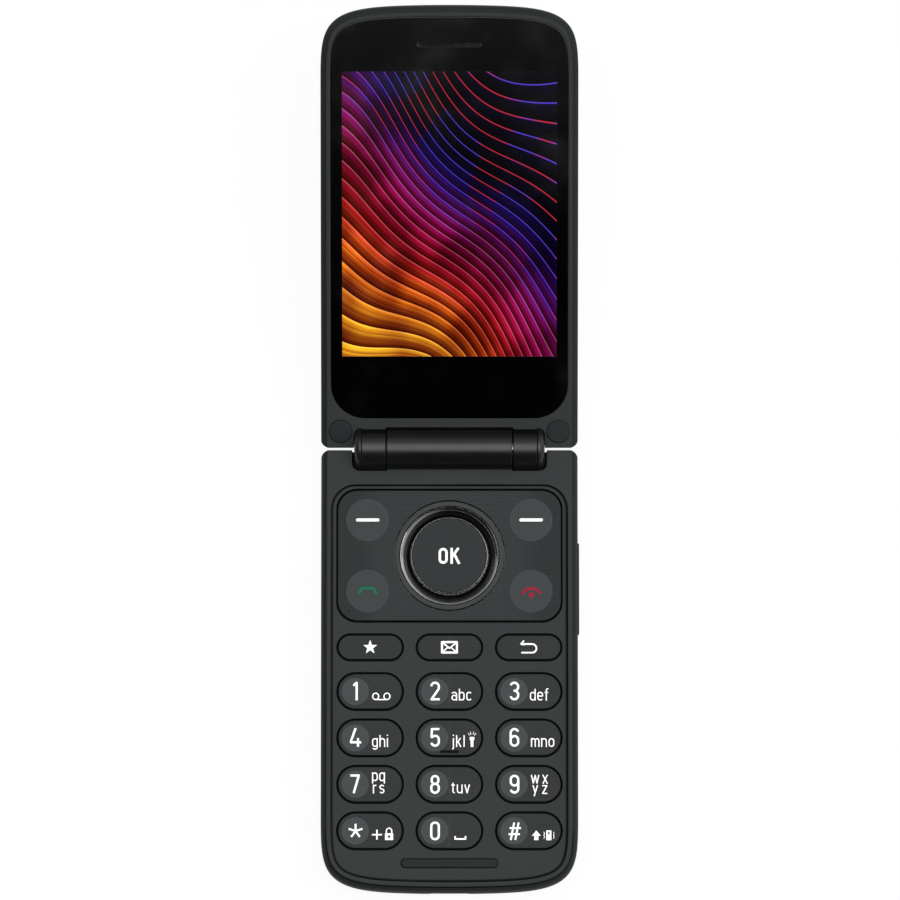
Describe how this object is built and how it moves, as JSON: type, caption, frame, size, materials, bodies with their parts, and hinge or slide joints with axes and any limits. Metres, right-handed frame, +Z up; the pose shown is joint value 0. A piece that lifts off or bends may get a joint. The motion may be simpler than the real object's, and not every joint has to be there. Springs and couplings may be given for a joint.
{
  "type": "flip phone",
  "caption": "Clamshell phone with a barrel hinge, a tall black window over a colour screen, a direction ring and pill-shaped keys; every key travels and the lid folds shut.",
  "frame": {"origin": "the middle of the keypad half's flat back", "axes": "+X to the right of someone looking at the keys, +Y from the keys towards the screen half, +Z up out of the keys"},
  "size_m": [0.0583, 0.1982, 0.036],
  "materials": {
    "body_plastic": "moulded, fine satin paint, dark grey",
    "side_plastic": "moulded, matt, darker grey",
    "key_plastic": "moulded keys, fine embossed texture, white print",
    "ring_plastic": "satin ring with a bright cut edge",
    "ring_gloss": "polished black dish",
    "window_gloss": "polished black window",
    "torch_clear": "clear lamp lens",
    "screen": "lit colour screen behind the window",
    "outer_screen": "unlit small screen",
    "soft_rubber": "soft matt rubber",
    "silicone": "translucent silicone",
    "circuit_board": "green circuit board",
    "flex_circuit": "amber film circuit",
    "tinned_steel": "tinned sheet steel",
    "steel": "plated steel",
    "brass": "plated brass",
    "black_plastic": "black moulding"
  },
  "bodies": {
    "base": {"base_front_frame": "body_plastic", "base_rear_shell": "side_plastic", "battery_cover": "side_plastic", "battery_pack": "black_plastic", "battery_terminals": "brass", "sim_holder": "tinned_steel", "main_board": "circuit_board", "shield_cans": "tinned_steel", "dome_sheet": "flex_circuit", "keypad_mat": "silicone", "loudspeaker": "black_plastic", "vibration_motor": "tinned_steel", "microphone": "brass", "usb_socket": "tinned_steel", "antenna_carrier": "black_plastic", "side_key_switch": "circuit_board", "base_bumper_bar": "soft_rubber", "base_screws": "steel", "hinge_case": "steel", "hinge_spring": "steel", "hinge_follower": "brass", "hinge_flex": "flex_circuit"},
    "lid": {"lid_inner_frame": "body_plastic", "lid_outer_shell": "side_plastic", "display_window": "window_gloss", "display_panel": "screen", "lid_carrier": "black_plastic", "lid_board": "circuit_board", "earpiece": "black_plastic", "outer_window": "window_gloss", "outer_display": "outer_screen", "camera_module": "black_plastic", "camera_lens": "window_gloss", "torch_lens": "torch_clear", "lid_bumpers": "soft_rubber", "lid_screws": "steel", "lid_magnet": "tinned_steel", "hinge_shaft": "steel", "hinge_sleeve": "brass", "hinge_caps": "body_plastic"},
    "star_key": {"star_key": "key_plastic"},
    "message_key": {"message_key": "key_plastic"},
    "back_key": {"back_key": "key_plastic"},
    "key_1": {"key_1": "key_plastic"},
    "key_2": {"key_2": "key_plastic"},
    "key_3": {"key_3": "key_plastic"},
    "key_4": {"key_4": "key_plastic"},
    "key_5": {"key_5": "key_plastic"},
    "key_6": {"key_6": "key_plastic"},
    "key_7": {"key_7": "key_plastic"},
    "key_8": {"key_8": "key_plastic"},
    "key_9": {"key_9": "key_plastic"},
    "key_asterisk": {"key_asterisk": "key_plastic"},
    "key_0": {"key_0": "key_plastic"},
    "key_hash": {"key_hash": "key_plastic"},
    "nav_plate": {"nav_plate": "key_plastic"},
    "nav_ring": {"nav_ring": "ring_plastic", "nav_ring_inset": "ring_gloss"},
    "ok_key": {"ok_key": "key_plastic"},
    "volume_key": {"volume_key": "side_plastic"}
  },
  "joints": [
    {"name": "lid_fold", "type": "hinge", "parent": "base", "child": "lid", "pos_m": [0, 0.05021, 0.01075], "axis": [1, 0, 0], "range_deg": [0, 165]},
    {"name": "star_key_press", "type": "slide", "parent": "base", "child": "star_key", "axis": [0, 0, -1], "range_m": [0, 0.0003], "stiffness_N_per_m": 3000},
    {"name": "message_key_press", "type": "slide", "parent": "base", "child": "message_key", "axis": [0, 0, -1], "range_m": [0, 0.0003], "stiffness_N_per_m": 3000},
    {"name": "back_key_press", "type": "slide", "parent": "base", "child": "back_key", "axis": [0, 0, -1], "range_m": [0, 0.0003], "stiffness_N_per_m": 3000},
    {"name": "key_1_press", "type": "slide", "parent": "base", "child": "key_1", "axis": [0, 0, -1], "range_m": [0, 0.0003], "stiffness_N_per_m": 3000},
    {"name": "key_2_press", "type": "slide", "parent": "base", "child": "key_2", "axis": [0, 0, -1], "range_m": [0, 0.0003], "stiffness_N_per_m": 3000},
    {"name": "key_3_press", "type": "slide", "parent": "base", "child": "key_3", "axis": [0, 0, -1], "range_m": [0, 0.0003], "stiffness_N_per_m": 3000},
    {"name": "key_4_press", "type": "slide", "parent": "base", "child": "key_4", "axis": [0, 0, -1], "range_m": [0, 0.0003], "stiffness_N_per_m": 3000},
    {"name": "key_5_press", "type": "slide", "parent": "base", "child": "key_5", "axis": [0, 0, -1], "range_m": [0, 0.0003], "stiffness_N_per_m": 3000},
    {"name": "key_6_press", "type": "slide", "parent": "base", "child": "key_6", "axis": [0, 0, -1], "range_m": [0, 0.0003], "stiffness_N_per_m": 3000},
    {"name": "key_7_press", "type": "slide", "parent": "base", "child": "key_7", "axis": [0, 0, -1], "range_m": [0, 0.0003], "stiffness_N_per_m": 3000},
    {"name": "key_8_press", "type": "slide", "parent": "base", "child": "key_8", "axis": [0, 0, -1], "range_m": [0, 0.0003], "stiffness_N_per_m": 3000},
    {"name": "key_9_press", "type": "slide", "parent": "base", "child": "key_9", "axis": [0, 0, -1], "range_m": [0, 0.0003], "stiffness_N_per_m": 3000},
    {"name": "key_asterisk_press", "type": "slide", "parent": "base", "child": "key_asterisk", "axis": [0, 0, -1], "range_m": [0, 0.0003], "stiffness_N_per_m": 3000},
    {"name": "key_0_press", "type": "slide", "parent": "base", "child": "key_0", "axis": [0, 0, -1], "range_m": [0, 0.0003], "stiffness_N_per_m": 3000},
    {"name": "key_hash_press", "type": "slide", "parent": "base", "child": "key_hash", "axis": [0, 0, -1], "range_m": [0, 0.0003], "stiffness_N_per_m": 3000},
    {"name": "nav_plate_press", "type": "slide", "parent": "base", "child": "nav_plate", "axis": [0, 0, -1], "range_m": [0, 0.0003], "stiffness_N_per_m": 4000},
    {"name": "ok_key_press", "type": "slide", "parent": "base", "child": "ok_key", "axis": [0, 0, -1], "range_m": [0, 0.0003], "stiffness_N_per_m": 3000},
    {"name": "nav_ring_rock", "type": "hinge", "parent": "base", "child": "nav_ring", "pos_m": [0, 0.02608, 0.0088], "axis": [1, 0, 0], "range_deg": [-1.2, 1.2], "stiffness_Nm_per_rad": 0.75},
    {"name": "volume_key_rock", "type": "hinge", "parent": "base", "child": "volume_key", "pos_m": [0.0275, 0.01891, 0.0057], "axis": [0, 0, 1], "range_deg": [-1.2, 1.2], "stiffness_Nm_per_rad": 0.5}
  ]
}
